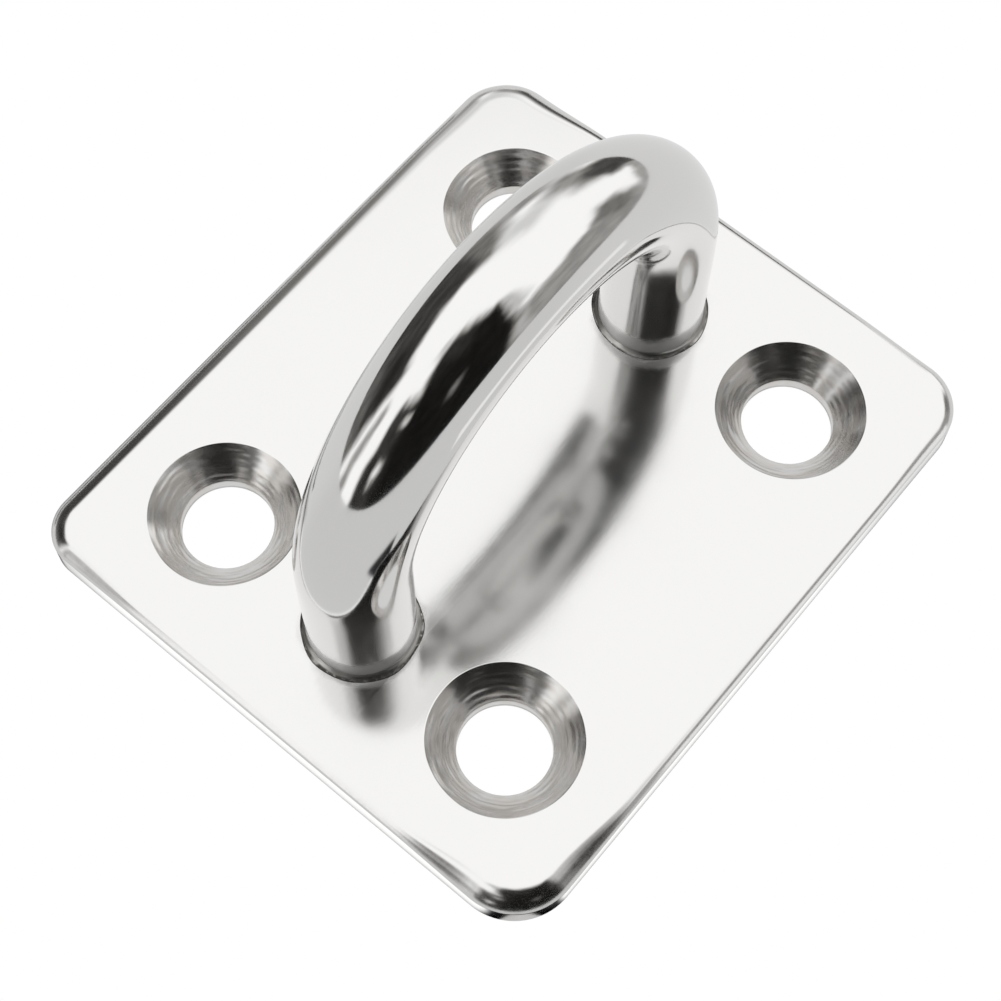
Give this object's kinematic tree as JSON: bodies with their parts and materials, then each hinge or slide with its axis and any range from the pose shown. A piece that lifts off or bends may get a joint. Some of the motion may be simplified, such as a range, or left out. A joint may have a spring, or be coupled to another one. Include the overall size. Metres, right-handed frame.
{
  "type": "pad eye",
  "caption": "Rounded rectangular base plate with countersunk screw holes and a bent round-bar eye welded to it, for fixing a shackle, snap hook or line to a deck, hull or wall.",
  "frame": {"origin": "centre of the base plate's back face, which is the mounting face", "axes": "+X along the plate's long side and in the plane of the eye's loop, +Y across the plate and through the eye, +Z out of the mounting surface towards the eye"},
  "size_m": [0.04, 0.035, 0.026],
  "materials": {
    "polished_plate": "mirror-polished stainless steel with fine hairline scratches, turned countersinks and a plain back",
    "polished_bar": "mirror-polished stainless steel round bar with fine polishing lines",
    "polished_weld": "small weld fillet, polished over and slightly uneven",
    "ground_weld": "weld metal ground flush, with grinding marks and a faint heat tint"
  },
  "bodies": {
    "root": {"base_plate": "polished_plate", "eye_bar": "polished_bar", "left_foot_bead": "polished_weld", "right_foot_bead": "polished_weld", "left_back_weld": "ground_weld", "right_back_weld": "ground_weld"}
  },
  "joints": []
}
